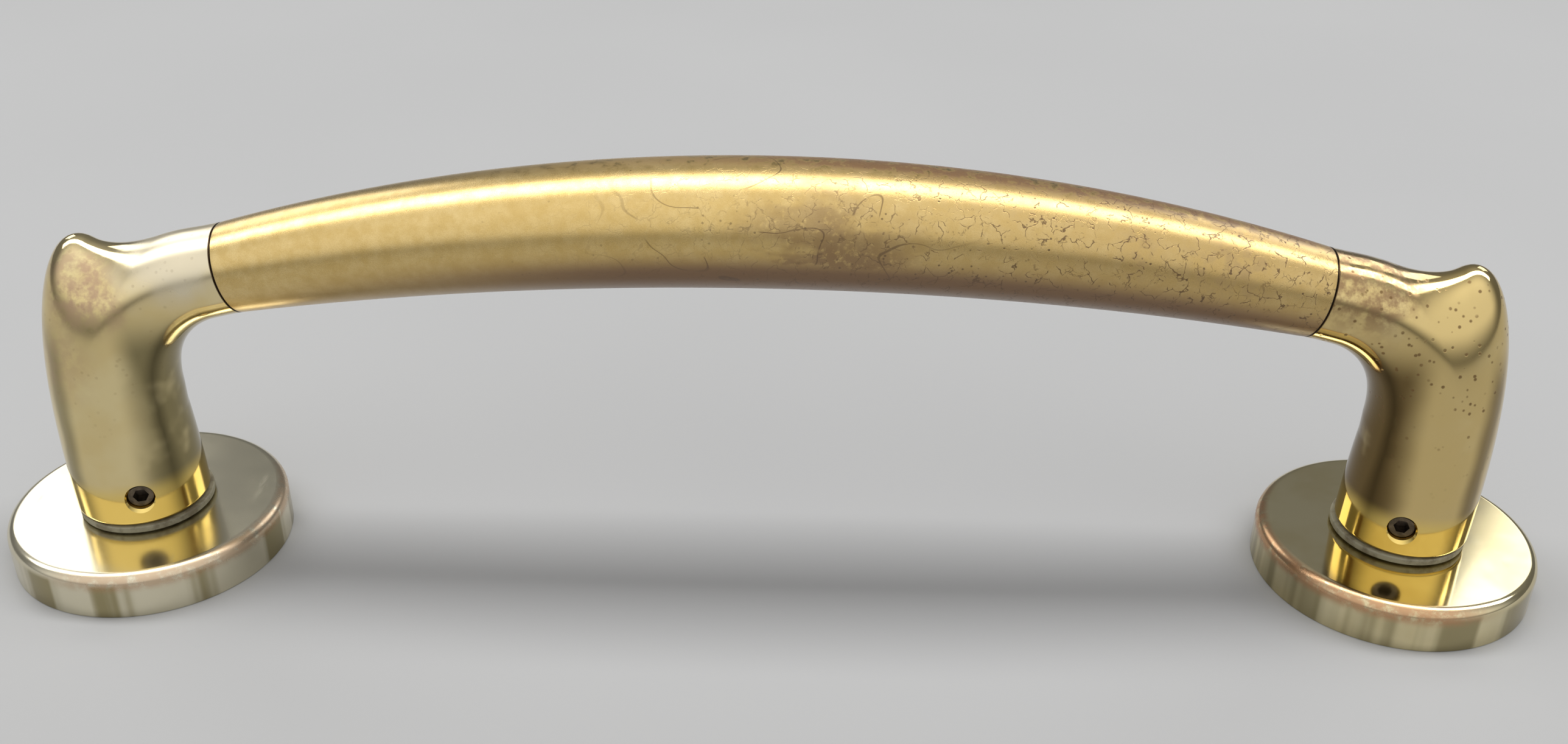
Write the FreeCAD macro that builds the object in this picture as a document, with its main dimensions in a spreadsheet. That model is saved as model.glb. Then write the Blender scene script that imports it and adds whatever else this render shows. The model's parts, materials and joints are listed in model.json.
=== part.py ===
import FreeCAD, Part
import math
import os

import Sketcher
from FreeCAD import Placement, Rotation, Vector

# Door pull handle: a bowed round grip carried by two posts, each clamped on a spigot that stands on a
# round rose. X runs along the grip, Z points out of the door, and z = 0 is the door face.
# The origin is midway between the two roses.

DIMENSIONS = {
    # layout
    "post_spacing": 243.4,
    "bow_radius": 429.0,
    "bow_angle": 13.05,
    "grip_height": 71.0,
    # grip tube
    "grip_mid_radius": 11.6,
    "grip_end_radius": 8.25,
    "grip_wall": 2.0,
    "grip_core_angle": 11.2,
    "seam_chamfer": 0.25,
    # insert and stud that join grip and post
    "plug_radius": 6.2,
    "plug_length": 14.0,
    "plug_chamfer": 0.5,
    "join_radius": 4.0,
    "join_depth": 12.0,
    "join_gap": 0.03,
    # post
    "post_bottom": 10.6,
    "post_radius": 12.2,
    "post_height": 56.0,
    "post_shift": 0.45,
    "post_lean": 2.2,
    "post_skirt": 1.0,
    "post_edge": 1.0,
    "neck_bend": 24.0,
    "neck_root": 8.0,
    "neck_fillet": 5.5,
    # spigot
    "spigot_radius": 7.0,
    "spigot_top": 29.0,
    "spigot_chamfer": 1.0,
    "spigot_gap": 0.05,
    "flange_radius": 10.4,
    "flange_height": 2.0,
    "thread_radius": 3.4,
    "thread_depth": 20.0,
    # set screw
    "screw_height": 16.5,
    "screw_turn": 20.0,
    "screw_radius": 2.5,
    "screw_gap": 0.05,
    "screw_pitch": 0.8,
    "screw_ridge": 0.4,
    "screw_start": 5.65,
    "screw_length": 5.0,
    "screw_point": 0.4,
    "hex_width": 2.5,
    "hex_depth": 2.2,
    "hole_start": 4.0,
    "sink_start": 11.45,
    "sink_end": 16.2,
    "notch_floor": 5.45,
    "notch_half": 0.5,
    # rose cap
    "rose_radius": 26.0,
    "rose_height": 9.0,
    "rose_shoulder": 2.2,
    "cap_wall": 1.4,
    "cap_hole": 8.36,
    "cap_groove": 0.3,
    "cap_groove_low": 1.8,
    "cap_groove_high": 3.4,
    "cap_inner_fillet": 1.0,
    # rose base
    "base_radius": 24.2,
    "base_height": 5.0,
    "base_chamfer": 0.8,
    "fixing_spacing": 38.0,
    "fixing_radius": 2.25,
    "fixing_head": 4.2,
    # snap ring
    "wire_radius": 0.62,
    "wire_path": 24.2,
    "wire_height": 2.6,
    "wire_gap_angle": 24.0,
    # collar bush
    "collar_radius": 12.4,
    "collar_low": 9.3,
    "collar_edge": 0.35,
    "hub_radius": 8.3,
    # circlip
    "clip_groove": 6.4,
    "clip_inner": 6.45,
    "clip_outer": 8.6,
    "clip_low": 5.0,
    "clip_slot": 1.0,
    "clip_play": 0.05,
    "clip_opening": 70.0,
}

GRIP_SECTIONS = 9
NOSE_POINTS = 10
NOSE_POWER = 2.5
RIDGE_COUNT = 2
SIDES = {"left": -1, "right": 1}

doc = FreeCAD.newDocument("pull_handle")
sheet = doc.addObject("Spreadsheet::Sheet", "dims")
for row, (alias, number) in enumerate(DIMENSIONS.items(), start=1):
    sheet.set(f"A{row}", alias)
    sheet.set(f"B{row}", str(number))
    sheet.setAlias(f"B{row}", alias)
doc.recompute()


def value(expression):
    """Number that a sheet expression such as 'dims.rose_radius - dims.cap_wall' gives."""
    result = sheet.evalExpression(expression)
    return float(getattr(result, "Value", result))


def new_body(label):
    body = doc.addObject("PartDesign::Body", label)
    body.Label = label
    return body


def plane(body, role):
    for feature in body.Origin.OriginFeatures:
        if feature.Role == role:
            return feature
    raise ValueError(role)


def new_sketch(body, name, role="XY_Plane", offset=None):
    sketch = body.newObject("Sketcher::SketchObject", name)
    sketch.AttachmentSupport = [(plane(body, role), "")]
    sketch.MapMode = "FlatFace"
    if offset is not None:
        sketch.AttachmentOffset = offset
    return sketch


def pin_point(sketch, geometry, point, x_text, y_text):
    """Hold one point of a sketch at the two sheet expressions."""
    for kind, text in (("DistanceX", x_text), ("DistanceY", y_text)):
        index = sketch.addConstraint(
            Sketcher.Constraint(kind, -1, 1, geometry, point, value(text)))
        sketch.setExpression(f"Constraints[{index}]", text)


def add_circle(sketch, radius, x_text="0 * dims.rose_radius", y_text="0 * dims.rose_radius"):
    centre = Vector(value(x_text), value(y_text), 0)
    circle = sketch.addGeometry(Part.Circle(centre, Vector(0, 0, 1), value(radius)), False)
    index = sketch.addConstraint(Sketcher.Constraint("Radius", circle, value(radius)))
    sketch.setExpression(f"Constraints[{index}]", radius)
    pin_point(sketch, circle, 3, x_text, y_text)


def add_outline(sketch, corners):
    """Closed outline through corners, each given as two sheet expressions."""
    points = [Vector(value(x_text), value(y_text), 0) for x_text, y_text in corners]
    lines = []
    for start, end in zip(points, points[1:] + points[:1]):
        lines.append(sketch.addGeometry(Part.LineSegment(start, end), False))
    for here, after in zip(lines, lines[1:] + lines[:1]):
        sketch.addConstraint(Sketcher.Constraint("Coincident", here, 2, after, 1))
    for line, (x_text, y_text) in zip(lines, corners):
        pin_point(sketch, line, 1, x_text, y_text)


def revolve(body, sketch, name="turned", cut=False, angle=360.0):
    kind = "PartDesign::Groove" if cut else "PartDesign::Revolution"
    before = 0.0 if body.Tip is None else body.Tip.Shape.Volume
    feature = body.newObject(kind, name)
    feature.Profile = sketch
    feature.ReferenceAxis = (sketch, ["V_Axis"])
    feature.Angle = angle
    doc.recompute()
    if cut and not feature.Shape.Volume < before:
        raise RuntimeError(f"{body.Label}: {name} removes nothing")
    return feature


def pad(body, sketch, length, name="pad"):
    feature = body.newObject("PartDesign::Pad", name)
    feature.Profile = sketch
    feature.setExpression("Length", length)
    doc.recompute()
    return feature


def pocket(body, sketch, length, name="pocket", reverse=False):
    """Cut along the sketch's normal when reverse is true, and against it otherwise."""
    before = body.Tip.Shape.Volume
    feature = body.newObject("PartDesign::Pocket", name)
    feature.Profile = sketch
    feature.Reversed = reverse
    feature.setExpression("Length", length)
    doc.recompute()
    if not feature.Shape.Volume < before:
        raise RuntimeError(f"{body.Label}: {name} removes nothing")
    return feature


def dress(body, kind, edges, size, name):
    """Fillet or chamfer the named edges of the body's last feature."""
    if not edges:
        raise RuntimeError(f"{body.Label}: {name} finds no edge")
    base = body.Tip
    feature = body.newObject(f"PartDesign::{kind}", name)
    feature.Base = (base, edges)
    feature.setExpression("Radius" if kind == "Fillet" else "Size", size)
    doc.recompute()
    return feature


def ring_edges(shape, centre, radius):
    """Names of the edges that run once round centre at this radius."""
    names = []
    for number, edge in enumerate(shape.Edges, start=1):
        full_turn = abs(edge.Length / (2 * math.pi * radius) - 1) < 0.005
        if full_turn and (edge.CenterOfMass - centre).Length < 0.1:
            names.append(f"Edge{number}")
    return names


def turned_piece(label, corners):
    """Body of revolution about Z: corners are (radius, height) sheet expressions."""
    body = new_body(label)
    sketch = new_sketch(body, "profile", "XZ_Plane")
    add_outline(sketch, corners)
    revolve(body, sketch)
    return body


def bow_frame(angle):
    """Point and unit tangent of the grip's centre line at an angle from its middle, in the XZ plane."""
    radius = value("dims.bow_radius")
    turn = math.radians(angle)
    point = Vector(radius * math.sin(turn), 0, value("dims.grip_height") - radius * (1 - math.cos(turn)))
    return point, Vector(math.cos(turn), 0, -math.sin(turn))


def grip_radius(angle):
    """Outer radius of the grip: it thins from the middle towards both seams."""
    share = math.sin(math.radians(angle)) / math.sin(math.radians(value("dims.bow_angle")))
    middle = value("dims.grip_mid_radius")
    return middle - (middle - value("dims.grip_end_radius")) * share ** 2


def facing(point, direction):
    """Placement whose local Z looks along direction; local Y stays in the XZ plane."""
    return Placement(point, Rotation(Vector(0, 1, 0), Vector(0, 0, 1), direction, "ZXY"))


def bow_loft(body, limit, radius_at, kind, name):
    """Loft through round sections from -limit to +limit degrees along the bow."""
    sections = []
    for index in range(GRIP_SECTIONS):
        angle = limit * (2 * index / (GRIP_SECTIONS - 1) - 1)
        point, tangent = bow_frame(angle)
        sketch = new_sketch(body, f"{name}_section", offset=facing(point, tangent))
        sketch.addGeometry(Part.Circle(Vector(0, 0, 0), Vector(0, 0, 1), radius_at(angle)), False)
        sections.append(sketch)
    loft = body.newObject(kind, name)
    loft.Profile = sections[0]
    loft.Sections = sections[1:]
    doc.recompute()
    return loft


def make_grip_tube():
    body = new_body("grip_tube")
    wall = value("dims.grip_wall")
    bow_loft(body, value("dims.bow_angle"), grip_radius, "PartDesign::AdditiveLoft", "outside")
    solid = body.Tip.Shape.Volume
    bow_loft(body, value("dims.grip_core_angle"), lambda angle: grip_radius(angle) - wall,
             "PartDesign::SubtractiveLoft", "core")
    if not body.Tip.Shape.Volume < solid:
        raise RuntimeError("grip_tube: core removes nothing")
    for name, sign in SIDES.items():
        point, tangent = bow_frame(sign * value("dims.bow_angle"))
        mouth = new_sketch(body, f"{name}_mouth", offset=facing(point, tangent * sign))
        add_circle(mouth, "dims.plug_radius + dims.join_gap")
        pocket(body, mouth, "dims.plug_length + 2 * dims.join_gap", f"{name}_seat")
    return body


def end_placement(sign):
    """Placement at a seam between grip and post, local Z looking into the grip."""
    point, tangent = bow_frame(sign * value("dims.bow_angle"))
    return facing(point, tangent * -sign)


def make_end_plug(name, sign):
    body = turned_piece(f"grip_end_plug_{name}", [
        ("dims.join_radius + dims.join_gap", "0 * dims.plug_length"),
        ("dims.plug_radius - dims.plug_chamfer", "0 * dims.plug_length"),
        ("dims.plug_radius", "dims.plug_chamfer"),
        ("dims.plug_radius", "dims.plug_length - dims.plug_chamfer"),
        ("dims.plug_radius - dims.plug_chamfer", "dims.plug_length"),
        ("dims.join_radius + dims.join_gap", "dims.plug_length"),
    ])
    body.Placement = end_placement(sign)
    return body


def make_joining_stud(name, sign):
    """Stud with chamfered ends, half of it in the grip and half in the post."""
    body = turned_piece(f"joining_stud_{name}", [
        ("0 * dims.join_radius", "-dims.join_depth"),
        ("dims.join_radius - dims.plug_chamfer", "-dims.join_depth"),
        ("dims.join_radius", "dims.plug_chamfer - dims.join_depth"),
        ("dims.join_radius", "dims.join_depth - dims.plug_chamfer"),
        ("dims.join_radius - dims.plug_chamfer", "dims.join_depth"),
        ("0 * dims.join_radius", "dims.join_depth"),
    ])
    body.Placement = end_placement(sign)
    return body


def nose_curve():
    """Side of the post, from its foot to its rounded tip, as radius against height."""
    radius = value("dims.post_radius")
    height = value("dims.post_height")
    points = []
    for index in range(NOSE_POINTS):
        turn = math.pi / 2 * index / (NOSE_POINTS - 1)
        points.append(Vector(radius * math.cos(turn), height * math.sin(turn) ** (2 / NOSE_POWER), 0))
    curve = Part.BSplineCurve()
    curve.interpolate(Points=points, InitialTangent=Vector(0, 1, 0), FinalTangent=Vector(-1, 0, 0))
    return curve


def neck_path(seam, inward):
    """Centre line of the right post's neck: on from the grip, round a bend and down into the post."""
    turn = math.pi / 2 - math.radians(value("dims.bow_angle"))
    bend = value("dims.neck_bend")
    lean = math.radians(value("dims.post_lean"))
    post_axis = value("dims.post_shift") + math.sin(lean) * value("dims.post_height") / 2
    corner = seam + inward * ((post_axis - seam.x) / inward.x)
    straight = bend * math.tan(turn / 2)
    bend_start = corner - inward * straight
    bend_end = corner - Vector(0, 0, straight)
    centre = bend_end - Vector(bend, 0, 0)
    middle = centre + Vector(math.cos(turn / 2), 0, math.sin(turn / 2)) * bend
    root = bend_end - Vector(0, 0, value("dims.neck_root"))
    flat = [Vector(point.x, point.z, 0) for point in (seam, bend_start, middle, bend_end, root)]
    return [Part.LineSegment(flat[0], flat[1]), Part.Arc(flat[1], flat[2], flat[3]),
            Part.LineSegment(flat[3], flat[4])]


def blend_edges(body, nose):
    """Edges where the neck meets the nose: on the nose's skin and away from its own edges."""
    names = []
    for number, edge in enumerate(body.Tip.Shape.Edges, start=1):
        middle = edge.valueAt((edge.FirstParameter + edge.LastParameter) / 2)
        on_nose = nose.distToShape(Part.Vertex(middle))[0] < 0.02
        own_edge = min(old.distToShape(Part.Vertex(middle))[0] for old in nose.Edges) < 0.02
        low = middle.z < value("dims.post_bottom + dims.neck_root")
        if on_nose and not low and not (own_edge and edge.Length > value("dims.post_height")):
            names.append(f"Edge{number}")
    return names


def screw_direction(sign):
    """Way a set screw points out of its post: towards -Y, turned to the grip side."""
    turn = math.radians(value("dims.screw_turn"))
    return Vector(-sign * math.sin(turn), -math.cos(turn), 0)


def make_post(name, sign):
    """Both posts are built as the right one; the left one is turned half round and bored from the
    other side, so that both set screws face -Y."""
    body = new_body(f"post_{name}")
    foot = Vector(value("dims.post_shift"), value("dims.post_bottom - dims.post_skirt"), 0)
    tilted = Placement(foot, Rotation(Vector(0, 0, 1), -value("dims.post_lean")))
    profile = new_sketch(body, "nose_profile", "XZ_Plane", tilted)
    skirt = value("dims.post_skirt")
    radius = value("dims.post_radius")
    tip = Vector(0, value("dims.post_height"), 0)
    profile.addGeometry(nose_curve(), False)
    corners = [tip, Vector(0, -skirt, 0), Vector(radius, -skirt, 0), Vector(radius, 0, 0)]
    for start, end in zip(corners, corners[1:]):
        profile.addGeometry(Part.LineSegment(start, end), False)
    nose = revolve(body, profile, "nose").Shape.copy()

    seam, inward = bow_frame(value("dims.bow_angle"))
    seam = seam - Vector(value("dims.post_spacing / 2"), 0, 0)
    path = new_sketch(body, "neck_path", "XZ_Plane")
    path.addGeometry(neck_path(seam, inward), False)
    section = new_sketch(body, "neck_section", offset=facing(seam, inward))
    add_circle(section, "dims.grip_end_radius")
    neck = body.newObject("PartDesign::AdditivePipe", "neck")
    neck.Profile = section
    neck.Spine = (path, [])
    doc.recompute()
    dress(body, "Fillet", blend_edges(body, nose), "dims.neck_fillet", "neck_blend")

    level = Placement(Vector(0, 0, value("dims.post_bottom")), Rotation())
    foot_cut = new_sketch(body, "foot_section", offset=level)
    add_circle(foot_cut, "2 * dims.post_radius")
    pocket(body, foot_cut, "4 * dims.post_skirt", "foot_cut")
    lip = ring_edges(body.Tip.Shape, seam, value("dims.grip_end_radius"))
    dress(body, "Chamfer", lip, "dims.seam_chamfer", "seam_lip")
    foot_centre = Vector(foot.x, 0, value("dims.post_bottom"))
    rim = ring_edges(body.Tip.Shape, foot_centre, value("dims.post_radius"))
    dress(body, "Fillet", rim, "dims.post_edge", "foot_edge")
    bore = new_sketch(body, "bore_section", offset=level)
    add_circle(bore, "dims.spigot_radius + dims.spigot_gap")
    pocket(body, bore, "dims.spigot_top - dims.post_bottom + dims.spigot_chamfer", "bore", reverse=True)
    stud_hole = new_sketch(body, "stud_section", offset=facing(seam, inward))
    add_circle(stud_hole, "dims.join_radius + dims.join_gap")
    pocket(body, stud_hole, "dims.join_depth + dims.join_gap", "stud_hole", reverse=True)

    outward = screw_direction(1)
    outward.y *= sign
    upright = Rotation(Vector(0, 0, 1), outward, Vector(0, 0, 1).cross(outward), "YXZ")
    side_hole = new_sketch(body, "side_hole_profile", offset=Placement(
        Vector(0, 0, value("dims.screw_height")), upright))
    flare = "dims.screw_radius + dims.sink_end - dims.sink_start"
    add_outline(side_hole, [
        ("0 * dims.screw_radius", "dims.hole_start"),
        ("dims.screw_radius", "dims.hole_start"),
        ("dims.screw_radius", "dims.sink_start"),
        (flare, "dims.sink_end"),
        ("0 * dims.screw_radius", "dims.sink_end"),
    ])
    revolve(body, side_hole, "side_hole", cut=True)
    body.Placement = Placement(rose_place(sign).Base, Rotation(Vector(0, 0, 1), 90 - 90 * sign))
    return body


def rose_place(sign):
    return Placement(Vector(sign * value("dims.post_spacing / 2"), 0, 0), Rotation())


def make_set_screw(name, sign):
    """Cone-point set screw with a hexagon socket; its threads are plain rings at the real pitch."""
    root = "dims.screw_radius - dims.screw_gap - dims.screw_ridge"
    crest = "dims.screw_radius - dims.screw_gap"
    shoulder = f"dims.screw_start + {root} - dims.screw_point"
    tail = "dims.screw_start + dims.screw_length"
    corners = [("0 * dims.screw_radius", "dims.screw_start"), ("dims.screw_point", "dims.screw_start")]
    for ridge in range(RIDGE_COUNT):
        foot = f"{shoulder} + {ridge} * dims.screw_pitch"
        corners += [
            (root, foot),
            (crest, f"{foot} + 0.4 * dims.screw_pitch"),
            (crest, f"{foot} + 0.6 * dims.screw_pitch"),
        ]
    corners += [
        (root, f"{shoulder} + {RIDGE_COUNT} * dims.screw_pitch"),
        (crest, f"{shoulder} + {RIDGE_COUNT + 0.4} * dims.screw_pitch"),
        (crest, f"{tail} - dims.screw_ridge / 2"),
        (f"{crest} - dims.screw_ridge / 2", tail),
        ("0 * dims.screw_radius", tail),
    ]
    body = turned_piece(f"set_screw_{name}", corners)
    socket = new_sketch(body, "socket_section", offset=Placement(Vector(0, 0, value(tail)), Rotation()))
    corner = "dims.hex_width / sqrt(3)"
    add_outline(socket, [(f"{corner} * cos({60 * k})", f"{corner} * sin({60 * k})") for k in range(6)])
    pocket(body, socket, "dims.hex_depth", "socket")
    place = rose_place(sign).Base + Vector(0, 0, value("dims.screw_height"))
    body.Placement = facing(place, screw_direction(sign))
    return body


def make_spigot(name, sign):
    """Flanged pin: blind thread from the door side, notch all round for the set screw's point."""
    notch_rim = "dims.notch_half + dims.spigot_radius - dims.notch_floor"
    clip_high = "dims.clip_low + dims.clip_slot"
    body = turned_piece(f"spigot_{name}", [
        ("dims.thread_radius", "0 * dims.spigot_top"),
        ("dims.flange_radius", "0 * dims.spigot_top"),
        ("dims.flange_radius", "dims.flange_height"),
        ("dims.spigot_radius", "dims.flange_height"),
        ("dims.spigot_radius", "dims.clip_low"),
        ("dims.clip_groove", "dims.clip_low"),
        ("dims.clip_groove", clip_high),
        ("dims.spigot_radius", clip_high),
        ("dims.spigot_radius", f"dims.screw_height - ({notch_rim})"),
        ("dims.notch_floor", "dims.screw_height - dims.notch_half"),
        ("dims.notch_floor", "dims.screw_height + dims.notch_half"),
        ("dims.spigot_radius", f"dims.screw_height + {notch_rim}"),
        ("dims.spigot_radius", "dims.spigot_top - dims.spigot_chamfer"),
        ("dims.spigot_radius - dims.spigot_chamfer", "dims.spigot_top"),
        ("0 * dims.spigot_top", "dims.spigot_top"),
        ("0 * dims.spigot_top", "dims.thread_depth + dims.thread_radius * tan(31)"),
        ("dims.thread_radius", "dims.thread_depth"),
    ])
    body.Placement = rose_place(sign)
    return body


def make_rose_base(name, sign):
    body = new_body(f"rose_base_{name}")
    disc = new_sketch(body, "disc_section")
    add_circle(disc, "dims.base_radius")
    pad(body, disc, "dims.base_height", "disc")
    top = Vector(0, 0, value("dims.base_height"))
    rim = ring_edges(body.Tip.Shape, top, value("dims.base_radius"))
    dress(body, "Chamfer", rim, "dims.base_chamfer", "rim_chamfer")
    recess = new_sketch(body, "recess_section")
    add_circle(recess, "dims.flange_radius + dims.spigot_gap")
    pocket(body, recess, "dims.flange_height", "recess", reverse=True)
    centre = new_sketch(body, "centre_section")
    add_circle(centre, "dims.spigot_radius + dims.spigot_gap")
    pocket(body, centre, "dims.base_height", "centre_hole", reverse=True)
    groove = new_sketch(body, "ring_groove_profile", "XZ_Plane")
    floor = "dims.wire_path - dims.wire_radius - dims.spigot_gap"
    low = "dims.wire_height - dims.wire_radius - dims.spigot_gap"
    high = "dims.wire_height + dims.wire_radius + dims.spigot_gap"
    add_outline(groove, [(floor, low), ("dims.base_radius + dims.wire_radius", low),
                         ("dims.base_radius + dims.wire_radius", high), (floor, high)])
    revolve(body, groove, "ring_groove", cut=True)
    before = body.Tip.Shape.Volume
    spots = new_sketch(body, "fixing_spots", offset=Placement(
        Vector(0, 0, value("dims.base_height")), Rotation()))
    for along in ("dims.fixing_spacing / 2", "-dims.fixing_spacing / 2"):
        add_circle(spots, "dims.fixing_radius", y_text=along)
    doc.recompute()
    hole = body.newObject("PartDesign::Hole", "fixing_holes")
    hole.Profile = spots
    doc.recompute()
    hole.DepthType = "ThroughAll"
    hole.HoleCutType = "Countersink"
    hole.setExpression("Diameter", "2 * dims.fixing_radius")
    hole.setExpression("HoleCutDiameter", "2 * dims.fixing_head")
    hole.HoleCutCountersinkAngle = 90
    doc.recompute()
    if not body.Tip.Shape.Volume < before:
        raise RuntimeError("fixing holes remove nothing")
    body.Placement = rose_place(sign)
    return body


def make_rose_cap(name, sign):
    """Round cover with a shouldered rim, hollow behind, grooved inside for the snap ring."""
    ceiling = "dims.rose_height - dims.cap_wall"
    wall = "dims.rose_radius - dims.cap_wall"
    zero = "0 * dims.rose_radius"
    body = turned_piece(f"rose_cap_{name}", [
        ("dims.cap_hole", ceiling),
        ("dims.cap_hole", "dims.rose_height"),
        ("dims.rose_radius", "dims.rose_height"),
        ("dims.rose_radius", zero),
        (wall, zero),
        (wall, "dims.cap_groove_low"),
        (f"{wall} + dims.cap_groove", "dims.cap_groove_low"),
        (f"{wall} + dims.cap_groove", "dims.cap_groove_high"),
        (wall, "dims.cap_groove_high"),
        (wall, ceiling),
    ])
    outer = ring_edges(body.Tip.Shape, Vector(0, 0, value("dims.rose_height")), value("dims.rose_radius"))
    dress(body, "Fillet", outer, "dims.rose_shoulder", "shoulder")
    inner = ring_edges(body.Tip.Shape, Vector(0, 0, value(ceiling)), value(wall))
    dress(body, "Fillet", inner, "dims.cap_inner_fillet", "inner_corner")
    body.Placement = rose_place(sign)
    return body


def make_cap_snap_ring(name, sign):
    """Open ring of round spring wire; its outer edge runs in the cap's groove."""
    body = new_body(f"cap_snap_ring_{name}")
    wire = new_sketch(body, "wire_section", "XZ_Plane")
    add_circle(wire, "dims.wire_radius", "dims.wire_path", "dims.wire_height")
    revolve(body, wire, "ring", angle=360 - value("dims.wire_gap_angle"))
    body.Placement = rose_place(sign)
    return body


def make_spigot_clip(name, sign):
    """Open retaining ring in the spigot's groove, on top of the rose base."""
    body = new_body(f"spigot_clip_{name}")
    section = new_sketch(body, "clip_section", "XZ_Plane")
    low = "dims.clip_low"
    high = "dims.clip_low + dims.clip_slot - dims.clip_play"
    add_outline(section, [("dims.clip_inner", low), ("dims.clip_outer", low),
                          ("dims.clip_outer", high), ("dims.clip_inner", high)])
    revolve(body, section, "clip", angle=360 - value("dims.clip_opening"))
    body.Placement = rose_place(sign)
    return body


def make_collar_bush(name, sign):
    """Flanged bush between post and rose: its hub fills the cap's hole and centres the cap."""
    bore = "dims.spigot_radius + 2 * dims.spigot_gap"
    foot = "dims.clip_low + dims.clip_slot"
    body = turned_piece(f"collar_bush_{name}", [
        (bore, foot),
        ("dims.hub_radius", foot),
        ("dims.hub_radius", "dims.collar_low"),
        ("dims.collar_radius - dims.collar_edge", "dims.collar_low"),
        ("dims.collar_radius", "dims.collar_low + dims.collar_edge"),
        ("dims.collar_radius", "dims.post_bottom - dims.collar_edge"),
        ("dims.collar_radius - dims.collar_edge", "dims.post_bottom"),
        (bore, "dims.post_bottom"),
    ])
    body.Placement = rose_place(sign)
    return body


PAIRED_PIECES = (
    make_post, make_set_screw, make_joining_stud, make_end_plug, make_collar_bush, make_rose_cap,
    make_rose_base, make_cap_snap_ring, make_spigot, make_spigot_clip,
)

bodies = [make_grip_tube()]
for side_name, side_sign in SIDES.items():
    for make_piece in PAIRED_PIECES:
        bodies.append(make_piece(side_name, side_sign))
doc.recompute()

for item in doc.Objects:
    if "Invalid" in item.State or "Error" in item.State:
        raise RuntimeError(f"{item.Name} ({item.Label}): {item.State}")
for body in bodies:
    if body.Shape.isNull() or not body.Shape.isValid() or len(body.Shape.Solids) != 1:
        raise RuntimeError(f"{body.Label}: shape is not one valid solid")

os.makedirs("parts", exist_ok=True)
for body in bodies:
    body.Shape.exportStep(f"parts/{body.Label}.step")
    box = body.Shape.optimalBoundingBox(False, False)
    print(f"{body.Label:24s} volume {body.Shape.Volume:9.1f}  z {box.ZMin:7.2f} to {box.ZMax:7.2f}")
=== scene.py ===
import json
import math

import bmesh
import bpy
import numpy as np
from mathutils import Matrix, Vector


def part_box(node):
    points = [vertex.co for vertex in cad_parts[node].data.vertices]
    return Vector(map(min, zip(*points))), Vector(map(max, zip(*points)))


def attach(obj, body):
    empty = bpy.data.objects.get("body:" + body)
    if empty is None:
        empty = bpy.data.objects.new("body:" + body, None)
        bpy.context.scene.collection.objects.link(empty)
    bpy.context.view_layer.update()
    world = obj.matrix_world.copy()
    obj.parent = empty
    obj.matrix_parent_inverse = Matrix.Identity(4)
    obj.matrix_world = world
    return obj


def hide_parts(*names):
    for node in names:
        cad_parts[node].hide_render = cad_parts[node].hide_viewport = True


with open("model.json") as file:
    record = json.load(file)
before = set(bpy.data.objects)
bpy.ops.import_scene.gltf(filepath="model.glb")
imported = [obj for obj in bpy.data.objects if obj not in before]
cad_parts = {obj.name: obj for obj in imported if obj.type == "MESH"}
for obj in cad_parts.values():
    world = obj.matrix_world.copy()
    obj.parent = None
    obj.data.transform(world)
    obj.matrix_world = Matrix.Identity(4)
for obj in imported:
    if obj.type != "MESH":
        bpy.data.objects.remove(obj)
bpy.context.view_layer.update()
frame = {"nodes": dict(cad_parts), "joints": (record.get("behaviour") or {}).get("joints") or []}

# Looks of the door pull handle. Shapes are worked out in millimetres and made in metres.
# X runs along the grip, Z points out of the door, and the roses stand on z = 0.

MM = 0.001


def in_mm(metres):
    """Millimetres to a tenth, because the mesh of a round part falls a hair inside its real size."""
    return round(metres / MM, 1)


# places and sizes that the frame gives
cap_low, cap_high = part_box("rose_cap_right")
collar_low, collar_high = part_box("collar_bush_right")
grip_low, grip_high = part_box("grip_tube")
screw_low, screw_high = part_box("set_screw_right")
axes = {joint["name"]: joint["axis"] for joint in frame["joints"]}
screw_x, screw_y, _ = axes["set_screw_right_travel"]
POST_X = in_mm((cap_low.x + cap_high.x) / 2)
ROSE_RADIUS = in_mm((cap_high.x - cap_low.x) / 2)
ROSE_HEIGHT = in_mm(cap_high.z)
COLLAR_RADIUS = in_mm(collar_high.x - POST_X * MM)
SLEEVE_END = in_mm(collar_low.z)
FOOT_Z = in_mm(collar_high.z)
GRIP_MIDDLE = in_mm(-grip_low.y)
GRIP_TOP = in_mm(grip_high.z + grip_low.y)
SCREW_Z = in_mm((screw_low.z + screw_high.z) / 2)
SCREW_TURN = math.radians(round(math.degrees(math.atan2(-screw_x, -screw_y)), 1))

# bow of the grip, between its two seams: its centre line is GRIP_TOP high and the tube's radius is
# GRIP_MIDDLE there, and GRIP_END at the seams
BOW_RADIUS = 429.0
BOW_ANGLE = math.radians(13.05)
GRIP_END = 8.25
GRIP_WALL = 2.0
CORE_ANGLE = math.radians(11.2)
SEAT_RADIUS = 6.23
SEAT_DEPTH = 14.06
SEAM_LIP = 0.28
SEAM_LINE = 0.14
SEAM_FADE = 0.30

# post: a leaning nose joined to the neck that carries the grip; its foot stands on the collar
FOOT_LIP = 1.0
LIP_START = 0.12
NOSE_SHIFT = 0.45
NOSE_LEAN = math.radians(2.19)
NOSE_RADIUS = 12.22
NOSE_HEIGHT = 55.08
NOSE_POWER = 2.507
NECK_X = 0.95
NECK_BEND = 26.0
NECK_WAIST = 0.24
NECK_FLARE = 3.37
BLEND = 7.2

# holes in the post
BORE = 7.05
BORE_TOP = 30.0
STUD_HOLE = 4.03
STUD_DEPTH = 12.03
SCREW_HOLE = 2.5
SINK_START = 11.45

# rose cap: hollow underneath, with a groove for its snap ring
ROSE_SHOULDER = 2.2
CAP_HOLE = 8.36
CAP_ROOM = 24.6
CAP_CEILING = 7.6
GROOVE_RADIUS = 24.9
GROOVE_LOW = 1.8
GROOVE_HIGH = 3.4

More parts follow.
